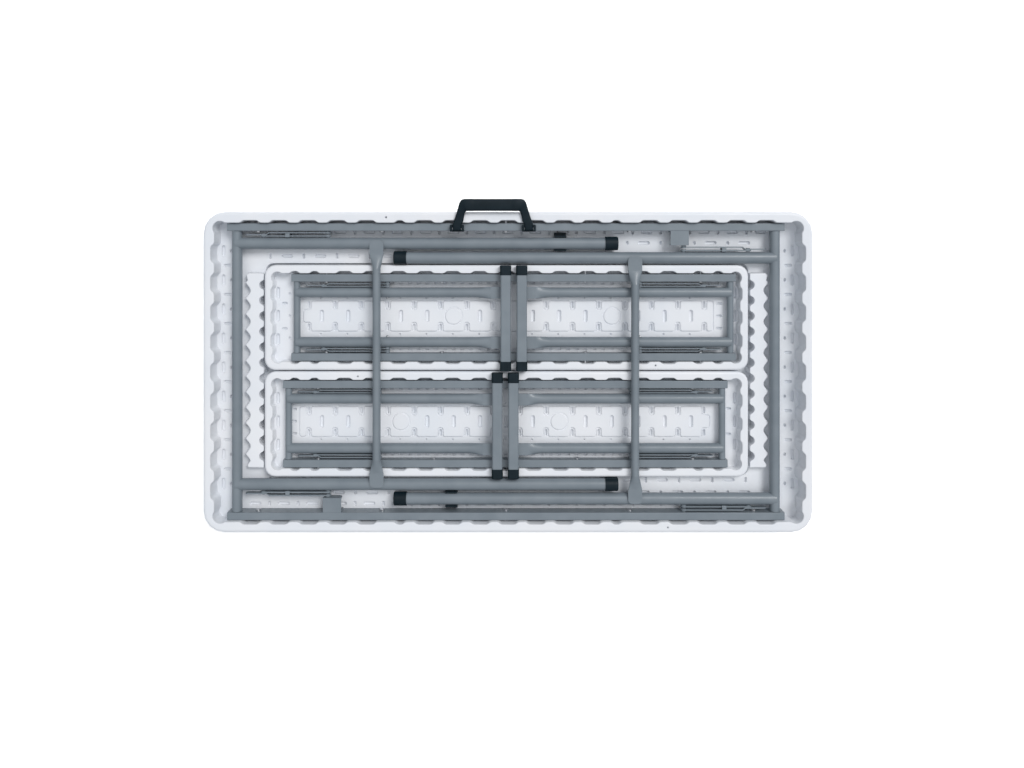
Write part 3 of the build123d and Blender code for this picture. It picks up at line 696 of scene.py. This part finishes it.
def handle():
    low, high = corners_of("handle")
    middle = (low.x + high.x) / 2
    # One arm from its foot to the grip: inside edge (x, y), outside edge (x, y), z, thickness.
    arm = [
        ((58.6, 262.5), (74.4, 262.5), 61.0, 8.0),
        ((58.6, 264.5), (74.4, 264.5), 61.3, 10.0),
        ((58.6, 270.0), (74.4, 270.0), 62.4, 10.4),
        ((57.2, 275.5), (73.8, 275.5), 64.6, 7.6),
        ((54.6, 279.5), (72.5, 279.5), 65.6, 6.6),
        ((53.2, 287.0), (69.5, 287.0), 66.0, 6.6),
        ((51.5, 294.0), (67.0, 295.5), 66.6, 7.4),
        ((50.0, 297.2), (64.8, 303.0), 67.6, 9.4),
        ((48.6, 298.4), (61.5, 314.0), 68.8, 11.8),
        ((47.2, 298.5), (57.5, 319.6), 69.6, 13.6),
        ((44.5, 298.5), (52.0, 320.9), 69.8, 14.2),
        ((41.0, 298.5), (43.0, 321.0), 69.8, 14.4),
    ]

    def placed(point, side):
        return Vector((middle + side * point[0], point[1]))

    stations = [(placed(i, -1), placed(o, -1), z, t) for i, o, z, t in arm]
    for n in range(37):
        x = 2 * n - 36
        rib = 0.35 if n % 2 else 0
        stations.append(
            (placed((x, 298.5 + rib), 1), placed((x, 321 - rib), 1), 69.8, 14.4 - 2 * rib)
        )
    stations += [(placed(i, 1), placed(o, 1), z, t) for i, o, z, t in reversed(arm)]
    piece = swept("carrying_handle_grip", stations, "black_plastic")
    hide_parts("handle")
    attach(piece, "carrying_handle")


handle()


# ---------------------------------------------------------------- rivets of the bench braces
LINK_WIDTH = 10
LEG_INSIDE = 37
RIVET_RADIUS, RIVET_HEIGHT, RIVET_SIDES = 3, 3.4, 16


def rivet(name, x, y, z, outward, body):
    """Domed head on a face that looks along Y."""
    shell = Shell()
    rings = []
    for lift in (0, 18, 36, 54, 72, 86):
        angle = math.radians(lift)
        radius, rise = RIVET_RADIUS * math.cos(angle), RIVET_HEIGHT * math.sin(angle)
        first = len(shell.points)
        for n in range(RIVET_SIDES):
            turn = 2 * math.pi * n / RIVET_SIDES
            spot = (x + radius * math.cos(turn), y + outward * rise, z + radius * math.sin(turn))
            shell.points.append(spot)
        rings.append(list(range(first, first + RIVET_SIDES)))
    for low, high in zip(rings, rings[1:]):
        shell.add_faces(
            [(low[i - 1], low[i], high[i], high[i - 1]) for i in range(RIVET_SIDES)], True
        )
    shell.add_faces([tuple(rings[0]), tuple(rings[-1])], True)
    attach(shell.build(name, "zinc_steel"), body)


for bench in ("upper_bench", "lower_bench"):
    seat_ends = corners_of(f"{bench}_seat")
    bench_y = (seat_ends[0].y + seat_ends[1].y) / 2
    for side, name in ((1, "left"), (-1, "right")):
        low, high = corners_of(f"{bench}_{name}_leg_links")
        x = high.x - LINK_WIDTH / 2 if side > 0 else low.x + LINK_WIDTH / 2
        for row, across in ((1, "upper"), (-1, "lower")):
            rivet(
                f"{bench}_{name}_{across}_rivet",
                x,
                bench_y + row * LEG_INSIDE,
                (low.z + high.z) / 2,
                -row,
                f"{bench}_{name}_legs",
            )


# ---------------------------------------------------------------- floor, light and camera
def floor():
    mesh = bpy.data.meshes.new("studio_floor")
    reach = 6
    mesh.from_pydata(
        [(-reach, -reach, 0), (reach, -reach, 0), (reach, reach, 0), (-reach, reach, 0)],
        [],
        [(0, 1, 2, 3)],
    )
    ground = bpy.data.objects.new("studio_floor", mesh)
    ground.location.z = -0.0005
    scene.collection.objects.link(ground)
    made, shader = material("studio_floor_paint", (0.93, 0.93, 0.93), 0.9)
    tint(made, shader, noise(made, 1.5), (0.92, 0.92, 0.92), (0.94, 0.94, 0.94))
    shader.inputs["Emission Color"].default_value = (1, 1, 1, 1)
    shader.inputs["Emission Strength"].default_value = 0.4
    mesh.materials.append(made)


def soft_sun(name, direction, spread, strength, colour):
    """Even light from a direction, with soft shadows."""
    lamp = bpy.data.lights.new(name, "SUN")
    lamp.angle = spread
    lamp.energy = strength
    lamp.color = colour
    source = bpy.data.objects.new(name, lamp)
    source.location = direction
    source.rotation_euler = Vector(direction).to_track_quat("Z", "Y").to_euler()
    scene.collection.objects.link(source)


floor()
soft_sun("key_light", (1.5, 1.7, 3.0), 0.45, 1.6, (1.0, 0.985, 0.97))
world = bpy.data.worlds.new("studio")
world.use_nodes = True
background = world.node_tree.nodes["Background"]
background.inputs["Strength"].default_value = 0.83
place = world.node_tree.nodes.new("ShaderNodeTexCoord")
split = world.node_tree.nodes.new("ShaderNodeSeparateXYZ")
dome = world.node_tree.nodes.new("ShaderNodeValToRGB")
dome.color_ramp.elements[0].position = 0.0
dome.color_ramp.elements[0].color = (0.09, 0.1, 0.11, 1)
dome.color_ramp.elements[1].position = 0.9
dome.color_ramp.elements[1].color = (0.94, 0.965, 1.0, 1)
world.node_tree.links.new(place.outputs["Generated"], split.inputs["Vector"])
world.node_tree.links.new(split.outputs["Z"], dome.inputs["Fac"])
world.node_tree.links.new(dome.outputs["Color"], background.inputs["Color"])
scene.world = world
scene.view_settings.view_transform = "Standard"

# The camera looks straight down from above the upper part of the table, so the picture is shifted
# down to frame the whole object.
IMAGE_WIDTH, SENSOR = 1024, 36
CAMERA_RISE = 1.6
CAMERA_HEIGHT = CAMERA_RISE + RIM_Z * MM
CAMERA_Y = 0.264
PIXEL = 1.85 * MM
camera = bpy.data.cameras.new("camera")
camera.sensor_width = SENSOR
camera.lens = SENSOR * CAMERA_RISE / (IMAGE_WIDTH * PIXEL)
camera.shift_x = 4 / IMAGE_WIDTH
camera.shift_y = -(CAMERA_Y / PIXEL + 11.5) / IMAGE_WIDTH
eye = bpy.data.objects.new("camera", camera)
eye.location = (0, CAMERA_Y, CAMERA_HEIGHT)
scene.collection.objects.link(eye)
scene.camera = eye
